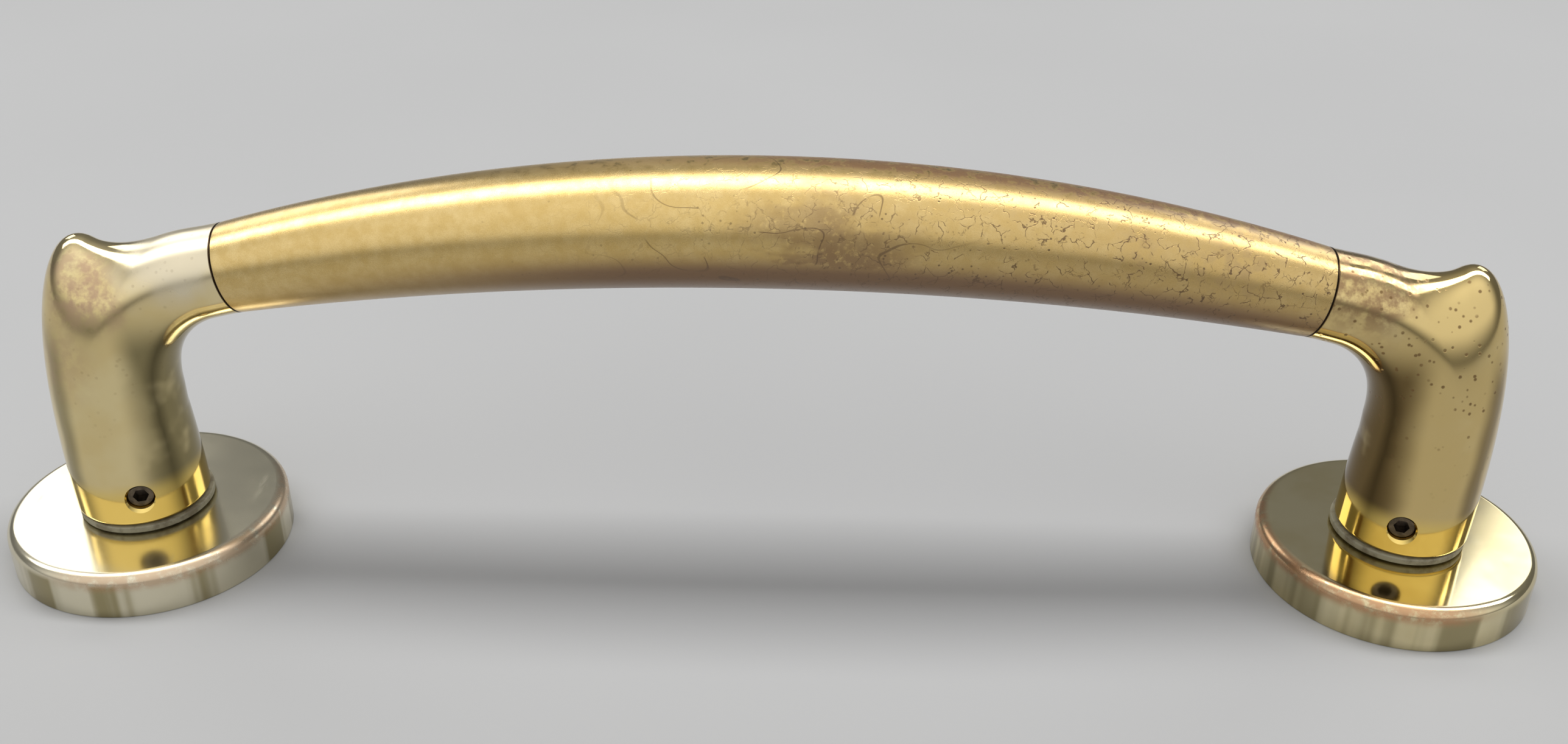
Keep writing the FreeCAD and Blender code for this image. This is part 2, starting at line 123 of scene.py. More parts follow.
# collar bush: a flange on the rose with a sleeve down its hole
COLLAR_LOW = 9.3
COLLAR_BORE = 7.1
SLEEVE_RADIUS = 8.3

# camera: its place and nearest view in metres, its lens and sensor in millimetres
CAMERA_PLACE = (0.0063, -0.24605, 0.18246)
CAMERA_NEAR = 0.01
CAMERA_PITCH = math.radians(29.92)
CAMERA_YAW = math.radians(0.89)
CAMERA_ROLL = math.radians(0.90)
CAMERA_LENS = 35.25
CAMERA_SENSOR = 36.0

# used by several pieces
SEAM_SHADE = (0.05, 0.03, 0.015)
CREASE = math.radians(38)
ALONG_Y = np.array([0.0, 1.0, 0.0])
ALONG_Z = np.array([0.0, 0.0, 1.0])


# ---------------------------------------------------------------- meshes

def place_object(name, data):
    """New object in the scene for a mesh, a light or a camera."""
    made = bpy.data.objects.new(name, data)
    bpy.context.scene.collection.objects.link(made)
    return made


def new_mesh(name, vertices, faces):
    """Closed object from vertices in millimetres, smooth shaded, with its creases sharp."""
    mesh = bpy.data.meshes.new(name)
    mesh.from_pydata([tuple(v) for v in np.asarray(vertices) * MM], [], faces)
    work = bmesh.new()
    work.from_mesh(mesh)
    bmesh.ops.recalc_face_normals(work, faces=work.faces)
    work.to_mesh(mesh)
    work.free()
    mesh.polygons.foreach_set("use_smooth", [True] * len(mesh.polygons))
    mesh.set_sharp_from_angle(angle=CREASE)
    return place_object(name, mesh)


def ring_skin(name, rings, closed=False):
    """Skin over rings of equally many points. A ring of one point closes its end as a fan, and
    closed=True joins the last ring to the first."""
    starts = np.cumsum([0] + [len(ring) for ring in rings])
    faces = []
    pairs = list(zip(range(len(rings)), range(1, len(rings))))
    if closed:
        pairs.append((len(rings) - 1, 0))
    for low, high in pairs:
        count = max(len(rings[low]), len(rings[high]))
        for k in range(count):
            after = (k + 1) % count
            a, b = starts[low] + k, starts[low] + after
            c, d = starts[high] + after, starts[high] + k
            if len(rings[low]) == 1:
                faces.append((starts[low], c, d))
            elif len(rings[high]) == 1:
                faces.append((a, b, starts[high]))
            else:
                faces.append((a, b, c, d))
    return new_mesh(name, np.concatenate(rings), [tuple(int(v) for v in face) for face in faces])


def spokes(angles, first, second=ALONG_Y):
    """Unit directions round a circle, from its first direction towards its second."""
    return np.cos(angles)[:, None] * first + np.sin(angles)[:, None] * second


def level_ring(centre, radius, height, angles):
    """Level ring about the vertical through (centre, 0)."""
    level = np.full(len(angles), height)
    return np.stack([centre + radius * np.cos(angles), radius * np.sin(angles), level], axis=1)


def lip_steps(shares, size):
    """Points on a quarter-round lip, from shares of its quarter turn: the first distance grows from
    none to the lip's size as the second shrinks to none."""
    turns = math.pi / 2 * np.asarray(shares)
    return list(zip(size * (1 - np.cos(turns)), size * (1 - np.sin(turns))))


def rounded_outline(corners, steps=8):
    """Outline through corners (radius, height, fillet) with each corner rounded by its fillet."""
    points = []
    count = len(corners)
    for k, (x, y, fillet) in enumerate(corners):
        here = np.array([x, y])
        if fillet <= 0:
            points.append(here)
            continue
        back = np.array(corners[k - 1][:2]) - here
        on = np.array(corners[(k + 1) % count][:2]) - here
        back, on = back / np.linalg.norm(back), on / np.linalg.norm(on)
        half = math.acos(np.clip(back @ on, -1, 1)) / 2
        middle = back + on
        centre = here + middle / np.linalg.norm(middle) * fillet / math.sin(half)
        first = here + back * fillet / math.tan(half) - centre
        last = here + on * fillet / math.tan(half) - centre
        turn = math.acos(np.clip(first @ last / fillet ** 2, -1, 1))
        for step in range(steps + 1):
            share = step / steps
            arm = math.sin((1 - share) * turn) * first + math.sin(share * turn) * last
            points.append(centre + arm / math.sin(turn))
    return points


def lathe(name, centre, corners, segments=224, steps=8):
    """Turned ring about the vertical through (centre, 0): corners are (radius, height, fillet)."""
    angles = np.linspace(0, 2 * math.pi, segments, endpoint=False)
    rings = []
    for radius, height in rounded_outline(corners, steps):
        rings.append(level_ring(centre, radius, height, angles))
    piece = ring_skin(name, rings, closed=True)
    flatten_shading(piece)
    return piece


def flatten_shading(piece):
    """Keep flat faces flat to the eye where they meet a fillet."""
    weighted = piece.modifiers.new("flat_faces", "WEIGHTED_NORMAL")
    weighted.mode = "FACE_AREA"
    weighted.weight = 100
    weighted.keep_sharp = True


def tube_ring(point, tangent, radius, angles):
    """Ring round a point of a centre line that lies in the XZ plane."""
    return point + radius * spokes(angles, np.array([-tangent[2], 0, tangent[0]]))


def bow_point(angle):
    """Point and unit tangent of the grip's centre line at an angle from its middle."""
    point = np.array([BOW_RADIUS * math.sin(angle), 0, GRIP_TOP - BOW_RADIUS * (1 - math.cos(angle))])
    return point, np.array([math.cos(angle), 0, -math.sin(angle)])


def grip_radius(angle):
    """Outside radius of the grip at an angle from its middle."""
    share = math.sin(angle) / math.sin(BOW_ANGLE)
    return GRIP_MIDDLE - (GRIP_MIDDLE - GRIP_END) * share ** 2


def make_grip():
    """Bowed tube, thickest in the middle, with rounded lips at both seams and a seat in each end."""
    angles = np.linspace(0, 2 * math.pi, 144, endpoint=False)
    lip = [(back / BOW_RADIUS, GRIP_END - inset)
           for back, inset in lip_steps(np.linspace(0, 1, 7), SEAM_LIP)]
    plain = BOW_ANGLE - 2 * SEAM_LIP / BOW_RADIUS
    outside = [(angle - BOW_ANGLE, radius) for angle, radius in lip]
    outside += [(angle, grip_radius(angle)) for angle in np.linspace(-plain, plain, 300)]
    outside += [(BOW_ANGLE - angle, radius) for angle, radius in lip[::-1]]
    inside = [(angle, grip_radius(angle) - GRIP_WALL)
              for angle in np.linspace(CORE_ANGLE, -CORE_ANGLE, 24)]
    rings = [tube_ring(*bow_point(angle), radius, angles) for angle, radius in outside]
    rings += seat_rings(1, angles)
    rings += [tube_ring(*bow_point(angle), radius, angles) for angle, radius in inside]
    rings += seat_rings(-1, angles)[::-1]
    return ring_skin("grip_satin", rings, closed=True)


def seat_rings(sign, angles):
    """Rings of the round seat sunk straight into one end of the grip, down to the stud's own hole."""
    point, tangent = bow_point(sign * BOW_ANGLE)
    rings = []
    for depth, radius in ((0, SEAT_RADIUS), (SEAT_DEPTH, SEAT_RADIUS), (SEAT_DEPTH, STUD_HOLE)):
        rings.append(tube_ring(point - sign * tangent * depth, tangent, radius, angles))
    return rings


# ---------------------------------------------------------------- post

def nose_field(x, y, z):
    """Distance to the nose's skin and its outward direction; x is measured from the rose's axis."""
    dx, dz = x - NOSE_SHIFT, z - FOOT_Z
    cos, sin = math.cos(NOSE_LEAN), math.sin(NOSE_LEAN)
    across, along = dx * cos - dz * sin, dx * sin + dz * cos
    rise = np.maximum(along, 1e-6) / NOSE_HEIGHT
    level = np.sqrt((across ** 2 + y ** 2) / NOSE_RADIUS ** 2 + rise ** NOSE_POWER)
    slope_a = across / NOSE_RADIUS ** 2 / level
    slope_y = y / NOSE_RADIUS ** 2 / level
    slope_h = NOSE_POWER / 2 * rise ** (NOSE_POWER - 1) / NOSE_HEIGHT / level
    steep = np.sqrt(slope_a ** 2 + slope_y ** 2 + slope_h ** 2)
    slope_x, slope_z = slope_a * cos + slope_h * sin, slope_h * cos - slope_a * sin
    slope = np.stack([slope_x, slope_y, slope_z], axis=-1)
    return (level - 1) / steep, slope / steep[..., None]


def neck_frame():
    """Seam, straight length, bend centre and bend turn of the neck's centre line."""
    seam, tangent = bow_point(BOW_ANGLE)
    seam = np.array([seam[0] - POST_X, 0, seam[2]])
    corner = seam + tangent * (NECK_X - seam[0]) / tangent[0]
    turn = math.pi / 2 - BOW_ANGLE
    straight = NECK_BEND * math.tan(turn / 2)
    length = np.linalg.norm(corner - seam) - straight
    centre = np.array([NECK_X - NECK_BEND, 0, corner[2] - straight])
    return seam, tangent, length, centre, turn


def neck_field(x, y, z):
    """Distance to the neck's skin and its outward direction."""
    seam, tangent, length, centre, turn = neck_frame()
    run = (x - seam[0]) * tangent[0] + (z - seam[2]) * tangent[2]
    reach = np.hypot(x - centre[0], z - centre[2])
    line = run <= length
    upright = ~line & (z < centre[2])
    off_x = np.where(line, x - seam[0] - tangent[0] * run,
                     np.where(upright, x - NECK_X, (reach - NECK_BEND) * (x - centre[0]) / reach))
    off_z = np.where(line, z - seam[2] - tangent[2] * run,
                     np.where(upright, 0, (reach - NECK_BEND) * (z - centre[2]) / reach))
    bent = turn - np.arctan2(z - centre[2], x - centre[0])
    whole = length + NECK_BEND * turn
    travel = np.where(line, run, np.where(upright, whole, length + NECK_BEND * np.clip(bent, 0, turn)))
    share = np.clip(travel / whole, 0, 1)
    radius = GRIP_END - NECK_WAIST * 4 * share * (1 - share) + NECK_FLARE * share ** 2 * (3 - 2 * share)
    away = np.sqrt(off_x ** 2 + y ** 2 + off_z ** 2) + 1e-9
    return away - radius, np.stack([off_x, y, off_z], axis=-1) / away[..., None]


def post_field(points):
    """Below zero inside the post: nose and neck run into each other where they cross at an angle."""
    x, y, z = points[..., 0], points[..., 1], points[..., 2]
    nose, nose_way = nose_field(x, y, z)
    neck, neck_way = neck_field(x, y, z)
    width = np.maximum(BLEND * (1 - (nose_way * neck_way).sum(-1)), 1e-3)
    near = np.maximum(width - np.abs(nose - neck), 0) / width
    return np.minimum(nose, neck) - near ** 2 * width / 4


def post_normals(points, step=1e-3):
    """Outward directions of the post's field."""
    columns = []
    for axis in range(3):
        shift = np.zeros(3)
        shift[axis] = step
        columns.append(post_field(points + shift) - post_field(points - shift))
    slope = np.stack(columns, axis=-1)
    return slope / np.linalg.norm(slope, axis=-1, keepdims=True)


def spine_rings():
    """Origins and outward side directions of the rings from the post's foot to the seam."""
    seam, tangent, length, centre, turn = neck_frame()
    spots = []
    for z in np.linspace(FOOT_Z + FOOT_LIP, centre[2], 36, endpoint=False):
        spots.append((np.array([NECK_X, 0, z]), np.array([1.0, 0, 0])))
    for angle in np.linspace(0, turn, 150, endpoint=False):
        out = np.array([math.cos(angle), 0, math.sin(angle)])
        spots.append((centre + NECK_BEND * out, out))
    out = np.array([-tangent[2], 0, tangent[0]])
    for run in np.linspace(length, 1.5 * SEAM_LIP, 12):
        spots.append((seam + tangent * run, out))
    return spots


def reach_skin(origins, ways, furthest=27.0, step=0.3, halvings=24):
    """Distance from each origin along its way to the post's skin."""
    steps = np.arange(0.0, furthest, step)
    trail = origins[:, None, :] + ways[:, None, :] * steps[None, :, None]
    outside = post_field(trail) > 0
    first = outside.argmax(axis=1)
    high, low = steps[first], steps[first] - step
    for _ in range(halvings):
        middle = (low + high) / 2
        out = post_field(origins + ways * middle[:, None]) > 0
        high, low = np.where(out, middle, high), np.where(out, low, middle)
    return (low + high) / 2


def make_post(name, sign):
    """Post of one side: rings from bore and foot to seam and stud hole, then the screw hole."""
    count = 192
    angles = np.linspace(0, 2 * math.pi, count, endpoint=False)
    skin = []
    for origin, out in spine_rings():
        ways = spokes(angles, out)
        origins = np.repeat(origin[None, :], count, axis=0)
        skin.append(origins + ways * reach_skin(origins, ways)[:, None])
    foot = []
    for inset, lift in lip_steps(np.linspace(1, LIP_START, 8), FOOT_LIP):
        ring = skin[0].copy()
        away = ring[:, :2] - np.array([NOSE_SHIFT, 0])
        ring[:, :2] -= away / np.linalg.norm(away, axis=1)[:, None] * inset
        ring[:, 2] = FOOT_Z + lift
        foot.append(ring)
    bore = [np.array([[0, 0, BORE_TOP]])]
    for height in (BORE_TOP, FOOT_Z):
        bore.append(level_ring(0, BORE, height, angles))
    seam, tangent = neck_frame()[:2]
    ending = [tube_ring(seam + tangent * back, tangent, GRIP_END - inset, angles)
              for inset, back in lip_steps(np.linspace(LIP_START, 1, 7), SEAM_LIP)]
    ending += [tube_ring(seam + tangent * run, tangent, STUD_HOLE, angles) for run in (0, STUD_DEPTH)]
    ending.append((seam + tangent * STUD_DEPTH)[None, :])
    piece = ring_skin(name, bore + foot + skin + ending)
    drill(piece, sign)
    polish_normals(piece)
    half_turn = Matrix.Rotation(0 if sign > 0 else math.pi, 4, "Z")
    piece.data.transform(Matrix.Translation((sign * POST_X * MM, 0, 0)) @ half_turn)
    return piece


def drill(piece, sign, start=4.0, end=16.0):
    """Cut the set screw's countersunk hole through the bore's wall, between two reaches outwards."""
    out = np.array([-math.sin(SCREW_TURN), -sign * math.cos(SCREW_TURN), 0])
    across = np.array([-out[1], out[0], 0])
    round_hole = spokes(np.linspace(0, 2 * math.pi, 64, endpoint=False), across, ALONG_Z)
    middle = ALONG_Z * SCREW_Z
    rings = [(middle + out * start)[None, :]]
    wide = SCREW_HOLE + end - SINK_START
    for run, radius in ((start, SCREW_HOLE), (SINK_START, SCREW_HOLE), (end, wide)):
        rings.append(middle + out * run + radius * round_hole)
    rings.append((middle + out * end)[None, :])
    cutter = ring_skin("screw_hole_cutter", rings)
    cut = piece.modifiers.new("screw_hole", "BOOLEAN")
    cut.operation = "DIFFERENCE"
    cut.solver = "EXACT"
    cut.object = cutter
    bpy.context.view_layer.update()
    drilled = piece.evaluated_get(bpy.context.evaluated_depsgraph_get())
    piece.data = bpy.data.meshes.new_from_object(drilled)
    piece.modifiers.clear()
    bpy.data.objects.remove(cutter)


def polish_normals(piece, tolerance=0.004, agreement=0.8):
    """Give the polished skin the exact directions of its field; other faces keep their own."""
    mesh = piece.data
    mesh.polygons.foreach_set("use_smooth", [True] * len(mesh.polygons))
    mesh.set_sharp_from_angle(angle=CREASE)
    points = np.zeros(len(mesh.vertices) * 3)
    mesh.vertices.foreach_get("co", points)
    points = points.reshape(-1, 3) / MM
    on_skin = np.abs(post_field(points)) < tolerance
    ways = post_normals(points)
    faces = np.zeros(len(mesh.polygons) * 3)
    mesh.polygons.foreach_get("normal", faces)
    faces = faces.reshape(-1, 3)
    corner_vertex = np.zeros(len(mesh.loops), int)
    mesh.loops.foreach_get("vertex_index", corner_vertex)
    starts = np.zeros(len(mesh.polygons), int)
    mesh.polygons.foreach_get("loop_start", starts)
    corner_face = np.searchsorted(starts, np.arange(len(mesh.loops)), side="right") - 1
    whole_face = np.logical_and.reduceat(on_skin[corner_vertex], starts)
    aligned = (ways[corner_vertex] * faces[corner_face]).sum(-1) > agreement
    polished = whole_face[corner_face] & aligned
    normals = np.where(polished[:, None], ways[corner_vertex], 0.0)
    mesh.normals_split_custom_set(normals.tolist())


# ---------------------------------------------------------------- finishes

def smooth_step(tree, source, low, high, top):
    """0 below low, top above high, smooth between; low above high turns it round."""
    step = tree.nodes.new("ShaderNodeMapRange")
    step.interpolation_type = "SMOOTHSTEP"
    tree.links.new(source, step.inputs["Value"])
    limits = (low, high, 0.0, top) if low < high else (high, low, top, 0.0)
    for key, setting in zip(("From Min", "From Max", "To Min", "To Max"), limits):
        step.inputs[key].default_value = setting
    return step.outputs["Result"]


class Finish:
    """Node material on a Principled surface, worked out from object coordinates in metres."""

    def __init__(self, name, **sockets):
        self.material = bpy.data.materials.new(name)
        self.material.use_nodes = True
        self.tree = self.material.node_tree
        self.surface = self.tree.nodes["Principled BSDF"]
        for key, setting in sockets.items():
            self.surface.inputs[key.replace("_", " ")].default_value = setting
        self.place = self.node("ShaderNodeTexCoord").outputs["Object"]

    def node(self, kind, inputs=(), **settings):
        """New node with its settings, and its inputs fed by name or number."""
        made = self.tree.nodes.new(kind)
        for key, setting in settings.items():
            setattr(made, key, setting)
        for key, source in dict(inputs).items():
            self.feed(made.inputs[key], source)
        return made

    def feed(self, socket, source):
        """Link a socket to another one, or set its value."""
        if isinstance(source, bpy.types.NodeSocket):
            self.tree.links.new(source, socket)
        else:
            socket.default_value = source

    def split(self, vector=None):
        """The three coordinates, in metres."""
        parts = self.node("ShaderNodeSeparateXYZ", {"Vector": vector or self.place})
        return parts.outputs["X"], parts.outputs["Y"], parts.outputs["Z"]

    def stretch(self, factors):
        """Coordinates scaled by three factors."""
        return self.node("ShaderNodeVectorMath", {0: self.place, 1: factors},
                         operation="MULTIPLY").outputs["Vector"]

    def warp(self, amount, scale, detail=2.0):
        """Coordinates pushed about by noise of the given scale, by up to half the amount in metres."""
        push = self.node("ShaderNodeTexNoise", {"Vector": self.place, "Scale": scale, "Detail": detail})
        centred = self.node("ShaderNodeVectorMath", {0: push.outputs["Color"], 1: (0.5, 0.5, 0.5)},
                            operation="SUBTRACT")
        scaled = self.node("ShaderNodeVectorMath", {0: centred.outputs["Vector"], "Scale": amount},
                           operation="SCALE")
        return self.node("ShaderNodeVectorMath", {0: self.place, 1: scaled.outputs["Vector"]},
                         operation="ADD").outputs["Vector"]

    def noise(self, scale, detail=2.0, roughness=0.5, vector=None):
        """Noise from 0 to 1, mostly near 0.5."""
        inputs = {"Vector": vector or self.place, "Scale": scale, "Detail": detail, "Roughness": roughness}
        return self.node("ShaderNodeTexNoise", inputs).outputs["Fac"]

    def cells(self, scale, feature="F1", vector=None):
        """Distance to the nearest cell's centre or, by its feature, to the nearest edge of cells."""
        inputs = {"Vector": vector or self.place, "Scale": scale}
        return self.node("ShaderNodeTexVoronoi", inputs, feature=feature).outputs["Distance"]

    def maths(self, operation, first, second=0.5, third=0.5):
        return self.node("ShaderNodeMath", {0: first, 1: second, 2: third},
                         operation=operation).outputs["Value"]

    def rise(self, source, low, high, top=1.0):
        """0 below low, top above high, smooth between; low above high turns it round."""
        return smooth_step(self.tree, source, low, high, top)

    def blend(self, factor, first, second):
        """First colour where the factor is 0, second where it is 1."""
        made = self.node("ShaderNodeMix", data_type="RGBA")
        self.feed(made.inputs[0], factor)
        for socket, source in ((made.inputs[6], first), (made.inputs[7], second)):
            if isinstance(source, tuple) and len(source) == 3:
                source = (*source, 1.0)
            self.feed(socket, source)
        return made.outputs[2]

    def near(self, spot, radius, soft, vector=None):
        """1 within radius of a spot in millimetres, fading to 0 over soft."""
        gap = self.node("ShaderNodeVectorMath", {0: vector or self.place,
                                                 1: tuple(c * MM for c in spot)}, operation="DISTANCE")
        return self.rise(gap.outputs["Value"], (radius + soft) * MM, radius * MM)

    def seam(self):
        """1 in the joint between grip and neck, fading to 0 beside it."""
        x, _, z = self.split()
        depth = self.maths("SUBTRACT", z, (GRIP_TOP - BOW_RADIUS) * MM)
        turn = self.maths("ARCTAN2", self.maths("ABSOLUTE", x), depth)
        gap = self.maths("ABSOLUTE", self.maths("SUBTRACT", turn, BOW_ANGLE))
        return self.rise(gap, SEAM_FADE / BOW_RADIUS, SEAM_LINE / BOW_RADIUS)

    def product(self, first, *others):
        for source in others:
            first = self.maths("MULTIPLY", first, source)
        return first

    def most(self, first, *others):
        for source in others:
            first = self.maths("MAXIMUM", first, source)
        return first

    def finish(self, colour, roughness, *heights):
        """Connect colour and roughness, and stack bumps of (height, strength, distance in mm)."""
        self.feed(self.surface.inputs["Base Color"], colour)
        self.feed(self.surface.inputs["Roughness"], roughness)
        normal = None
        for height, strength, distance in heights:
            inputs = {"Height": height, "Strength": strength, "Distance": distance * MM}
            if normal is not None:
                inputs["Normal"] = normal
            normal = self.node("ShaderNodeBump", inputs).outputs["Normal"]
        self.feed(self.surface.inputs["Normal"], normal)
        return self.material


def satin_brass():
    """Fine-grained satin brass under old lacquer: crazed and pitted, and browned more towards the
    right, along the back and in one patch on the front; darker underneath, partly brown lacquer and partly
    painted shade."""
    f = Finish("satin_brass", Metallic=1.0, Coat_Weight=0.6, Coat_Roughness=0.3)
    x, y, z = f.split()
    bow_drop = f.maths("MULTIPLY", x, x)
    centre = f.maths("MULTIPLY_ADD", bow_drop, -1 / (2 * BOW_RADIUS * MM), GRIP_TOP * MM)
    height = f.maths("SUBTRACT", z, centre)
    age = f.rise(x, -0.02, 0.07)
    grain = f.noise(5200, 3, 0.6)
    mottle = f.noise(420, 4, 0.6)
    cloud = f.noise(46, 4, 0.55)

    # cracks in the lacquer, and pits under it
    crooked = f.warp(0.004, 330, 3)
    veins = f.cells(330, "DISTANCE_TO_EDGE", crooked)
    coarse_crack = f.product(f.rise(veins, 0.036, 0.008), f.rise(f.noise(420, 3, 0.6), 0.46, 0.56))
    fine_veins = f.cells(700, "DISTANCE_TO_EDGE", crooked)
    fine_breaks = f.rise(f.noise(480, 3, 0.6), 0.53, 0.62)
    fine_crack = f.product(f.rise(fine_veins, 0.06, 0.015), fine_breaks, 0.6)
    crack = f.product(f.most(coarse_crack, fine_crack), f.rise(x, -0.06, 0.06, 0.85))
    pits = f.product(f.rise(f.cells(620), 0.17, 0.08), f.rise(f.noise(120, 1), 0.46, 0.6))
    pits = f.product(pits, f.rise(x, -0.09, 0.05, 0.8))

    # browning, with painted shade along the underside
    back = f.maths("MULTIPLY_ADD", height, 0.75, f.maths("MULTIPLY", y, 0.66))
    back = f.maths("MULTIPLY_ADD", f.rise(x, -0.02, 0.08), 0.0016, back)
    edge_brown = f.product(f.rise(back, 0.0062, 0.0086), f.rise(mottle, 0.34, 0.52),
                           f.rise(x, -0.07, 0.02), f.rise(height, -0.001, 0.006))
    # painted shade: the underside darkened, partly for brown lacquer and partly for the shade it faces
    underside_shade_and_brown = f.product(f.rise(height, 0.0005, -0.0046), f.rise(x, -0.11, -0.02))
    streaked = f.noise(120, 3, 0.6, f.stretch((0.5, 1.0, 1.4)))
    patch = f.product(f.near((10, -9, 63), 7, 16, f.warp(0.016, 70)), f.rise(streaked, 0.30, 0.52),
                      f.rise(f.noise(800, 4, 0.65), 0.22, 0.50))
    worn = f.product(age, f.rise(cloud, 0.44, 0.66), f.rise(mottle, 0.40, 0.62))
    brown_and_shade = f.most(edge_brown, underside_shade_and_brown, f.product(patch, 0.85), f.product(worn, 0.5))

    # long scratches beside the patch, along contours of slow noise
    slow = f.noise(75, 1, 0.5, f.stretch((1.0, 1.0, 1.3)))
    contour = f.maths("ABSOLUTE", f.maths("SUBTRACT", slow, 0.5))
    scratch = f.product(f.rise(contour, 0.0075, 0.0025), f.near((2, -9, 68), 14, 26),
                        f.rise(streaked, 0.42, 0.5), 0.7)

    gold = f.blend(f.rise(mottle, 0.3, 0.7), (0.66, 0.465, 0.165), (0.76, 0.565, 0.24))
    gold = f.blend(f.rise(cloud, 0.35, 0.65, 0.3), gold, (0.62, 0.405, 0.11))
    gold = f.blend(f.rise(grain, 0.35, 0.72, 0.22), gold, (0.44, 0.29, 0.08))
    gold = f.blend(f.product(age, 0.42), gold, (0.42, 0.275, 0.10))
    # browning, with painted shade underneath
    colour = f.blend(brown_and_shade, gold, (0.19, 0.10, 0.036))
    colour = f.blend(f.most(crack, scratch), colour, (0.12, 0.062, 0.022))
    colour = f.blend(pits, colour, (0.10, 0.055, 0.022))
    colour = f.blend(f.seam(), colour, SEAM_SHADE)

    f.feed(f.surface.inputs["Metallic"], f.maths("MULTIPLY_ADD", brown_and_shade, -0.7, 1.0))
    roughness = f.maths("MULTIPLY_ADD", grain, 0.12, 0.22)
    roughness = f.maths("MULTIPLY_ADD", brown_and_shade, 0.14, roughness)
    roughness = f.maths("MULTIPLY_ADD", crack, 0.3, roughness)
    cut = f.maths("MULTIPLY", f.most(crack, pits), -1.0)
    return f.finish(colour, roughness, (grain, 0.35, 0.02), (mottle, 0.22, 0.05), (cut, 0.6, 0.05))


def polished_brass():
    """Mirror-polished brass, hazed by fine wiping scratches: pale gold on the left post, older and
    browner on the right one, with painted dark reflections along its flanks and a painted yellow
    reflection at its foot."""
    f = Finish("polished_brass", Metallic=1.0)
    x, _, z = f.split()
    wipe = f.noise(900, 5, 0.65, f.stretch((1.0, 1.0, 0.16)))
    haze = f.noise(70, 3, 0.6)
    mottle = f.noise(520, 4, 0.6)
    aged = f.rise(x, -0.02, 0.02)
    specks = f.product(f.rise(f.cells(600), 0.24, 0.12), f.rise(f.noise(170, 2), 0.38, 0.52))
    specks = f.product(specks, f.rise(z, 0.020, 0.045, 0.85), f.maths("MULTIPLY_ADD", aged, 0.8, 0.2))

    # tarnish on the tops of the posts, and a dulled left neck whose pale tone is partly a painted
    # highlight
    shaken = f.warp(0.010, 120)
    heads = f.most(f.near((-121, -6, 58), 3, 8, shaken), f.near((104, -4, 66), 6, 9, shaken),
                   f.product(f.near((-128, -9, 45), 2, 9, shaken), 0.4))
    tarnish = f.product(heads, f.rise(mottle, 0.30, 0.62, 0.8))
    dull_and_highlight = f.near((-104, -3, 66), 6, 9, shaken)

    # painted dark reflections on the inner and outer flanks, bounded by the distance from the post's axis
    wavering = f.split(f.warp(0.004, 60))[0]
    across = f.maths("SUBTRACT", f.maths("ABSOLUTE", wavering), POST_X * MM)
    inner = f.product(f.rise(across, -0.0035, -0.0085), f.rise(z, 0.056, 0.046))
    outer = f.product(f.rise(across, 0.0045, 0.0075), f.rise(across, 0.0105, 0.0085),
                      f.rise(z, 0.054, 0.044), 0.75)
    flank_dark_reflection = f.product(f.most(inner, outer), f.rise(haze, 0.1, 0.4))

    colour = f.blend(f.rise(haze, 0.35, 0.65), (0.80, 0.67, 0.36), (0.75, 0.60, 0.29))
    colour = f.blend(f.product(aged, f.rise(haze, 0.1, 0.5, 0.8)), colour, (0.64, 0.48, 0.20))
    # painted dark reflections along the flanks, olive on the left post and browner on the right
    colour = f.blend(flank_dark_reflection, colour, f.blend(aged, (0.27, 0.225, 0.11), (0.17, 0.115, 0.045)))
    # painted reflection: a yellow glow round the foot, where the brass rose reflects into the post
    colour = f.blend(f.rise(z, 0.0205, 0.0165, 0.8), colour, (0.86, 0.63, 0.17))
    colour = f.blend(tarnish, colour, f.blend(aged, (0.50, 0.33, 0.22), (0.27, 0.155, 0.085)))
    # pale patch on the left neck: dull wear, and a painted highlight
    colour = f.blend(f.product(dull_and_highlight, 0.6), colour, (0.80, 0.75, 0.64))
    colour = f.blend(specks, colour, (0.20, 0.12, 0.05))
    colour = f.blend(f.seam(), colour, SEAM_SHADE)

    roughness = f.maths("MULTIPLY_ADD", f.rise(haze, 0.3, 0.7), 0.05, 0.055)
    roughness = f.maths("MULTIPLY_ADD", f.most(tarnish, dull_and_highlight), 0.22, roughness)
    roughness = f.maths("MULTIPLY_ADD", specks, 0.3, roughness)
    waves = f.noise(160, 2)
    dents = f.maths("MULTIPLY", specks, -1.0)
    return f.finish(colour, roughness, (wipe, 0.10, 0.004), (waves, 0.25, 0.012), (dents, 0.5, 0.03))


